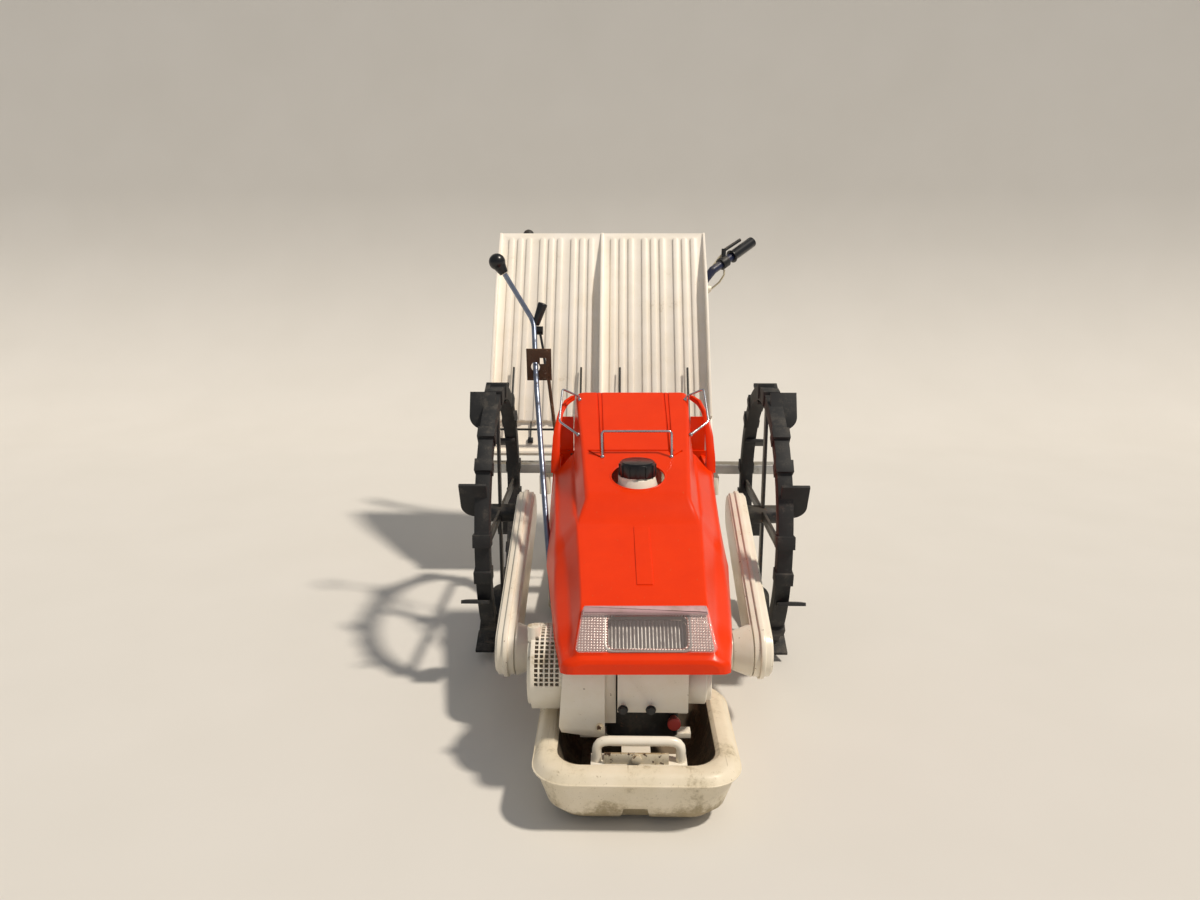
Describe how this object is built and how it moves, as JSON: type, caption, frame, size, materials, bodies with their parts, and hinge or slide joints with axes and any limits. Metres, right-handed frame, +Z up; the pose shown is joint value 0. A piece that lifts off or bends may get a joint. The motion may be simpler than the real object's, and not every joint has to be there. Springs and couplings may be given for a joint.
{
  "type": "rice transplanter",
  "caption": "Walk-behind rice transplanter with lugged wheels on swinging chain cases, an engine under a sloped hood, a float, planting arms, a sliding seedling tray and two handles.",
  "frame": {"origin": "centre of the bounding box on the ground plane that the wheels and float stand on", "axes": "-Y is the machine's front, +X is to the right in a view from the front, +Z is up"},
  "size_m": [0.826, 1.7, 0.9601],
  "materials": {
    "float_plastic": "blow-moulded, scuffed and stained with dried mud",
    "cream_paint": "cream paint, dirty and chipped, with some rust",
    "cream_plastic": "cream moulding, lightly soiled",
    "orange_plastic": "orange moulding, worn and scratched",
    "black_iron": "black paint, dusty",
    "black_plastic": "moulded black plastic and rubber",
    "bright_steel": "bare or plated steel, dull",
    "aluminium_rail": "extruded aluminium, dull",
    "wheel_rubber": "moulded rubber with dried mud",
    "lamp_silver": "silvered reflector",
    "lens_plastic": "clear ribbed lens",
    "rusty_steel": "rusty sheet steel",
    "red_plastic": "red cap",
    "blue_paint": "dark blue paint on tube",
    "cable_sheath": "cream sheath",
    "tray_plastic": "cream moulding, dusty"
  },
  "bodies": {
    "machine": {"float": "float_plastic", "main_frame": "cream_paint", "float_links": "bright_steel", "engine_block": "black_iron", "engine_shroud": "cream_paint", "recoil_cover": "cream_plastic", "front_plate": "cream_paint", "muffler": "cream_paint", "oil_cap": "red_plastic", "bumper_loop": "cream_paint", "bumper_plate": "cream_paint", "transmission_case": "cream_paint", "swing_shaft": "bright_steel", "hood": "orange_plastic", "cowl_left": "orange_plastic", "cowl_right": "orange_plastic", "lamp_reflector": "lamp_silver", "lamp_lens": "lens_plastic", "fuel_tank": "cream_plastic", "fuel_cap": "black_plastic", "guard_wires": "bright_steel", "shift_lever": "bright_steel", "shift_knob": "black_plastic", "gate_plate": "rusty_steel", "throttle_lever": "black_plastic", "planting_case": "cream_paint", "feed_rail": "aluminium_rail", "rail_brackets": "cream_paint", "tray_rest": "cream_paint", "handle_frame": "blue_paint", "grips": "black_plastic", "clutch_levers": "black_iron", "control_cables": "cable_sheath"},
    "arm_left": {"case_left": "cream_paint"},
    "arm_right": {"case_right": "cream_paint"},
    "wheel_left": {"rim_left": "black_iron", "tyre_left": "wheel_rubber", "hub_cap_left": "cream_paint"},
    "wheel_right": {"rim_right": "black_iron", "tyre_right": "wheel_rubber", "hub_cap_right": "cream_paint"},
    "tray": {"tray": "tray_plastic", "tray_lip": "tray_plastic", "retainer_rods": "black_iron", "feed_adjuster": "black_iron"},
    "crank_left": {"crank_left": "bright_steel"},
    "crank_right": {"crank_right": "bright_steel"},
    "planter_left": {"planter_left": "cream_paint"},
    "planter_right": {"planter_right": "cream_paint"}
  },
  "joints": [
    {"name": "arm_left_swing", "type": "hinge", "parent": "machine", "child": "arm_left", "pos_m": [-0.243, -0.483, 0.15], "axis": [1, 0, 0], "range_deg": [-35, 12]},
    {"name": "arm_right_swing", "type": "hinge", "parent": "machine", "child": "arm_right", "pos_m": [0.243, -0.483, 0.15], "axis": [1, 0, 0], "range_deg": [-35, 12]},
    {"name": "wheel_left_spin", "type": "hinge", "parent": "arm_left", "child": "wheel_left", "pos_m": [-0.304, -0.085, 0.30173], "axis": [1, 0, 0], "continuous": true},
    {"name": "wheel_right_spin", "type": "hinge", "parent": "arm_right", "child": "wheel_right", "pos_m": [0.304, -0.085, 0.30173], "axis": [1, 0, 0], "continuous": true},
    {"name": "tray_slide", "type": "slide", "parent": "machine", "child": "tray", "axis": [1, 0, 0], "range_m": [-0.055, 0.215]},
    {"name": "crank_left_spin", "type": "hinge", "parent": "machine", "child": "crank_left", "pos_m": [-0.125, 0.131, 0.262], "axis": [1, 0, 0], "continuous": true},
    {"name": "crank_right_spin", "type": "hinge", "parent": "machine", "child": "crank_right", "pos_m": [0.125, 0.131, 0.262], "axis": [1, 0, 0], "continuous": true},
    {"name": "planter_left_turn", "type": "hinge", "parent": "crank_left", "child": "planter_left", "pos_m": [-0.15, 0.1535, 0.30097], "axis": [1, 0, 0], "continuous": true},
    {"name": "planter_right_turn", "type": "hinge", "parent": "crank_right", "child": "planter_right", "pos_m": [0.15, 0.1535, 0.30097], "axis": [1, 0, 0], "continuous": true}
  ],
  "couplings": [
    {"joint": "crank_right_spin", "follows": "crank_left_spin", "ratio": 1},
    {"joint": "planter_left_turn", "follows": "crank_left_spin", "ratio": -1},
    {"joint": "planter_right_turn", "follows": "crank_left_spin", "ratio": -1}
  ]
}
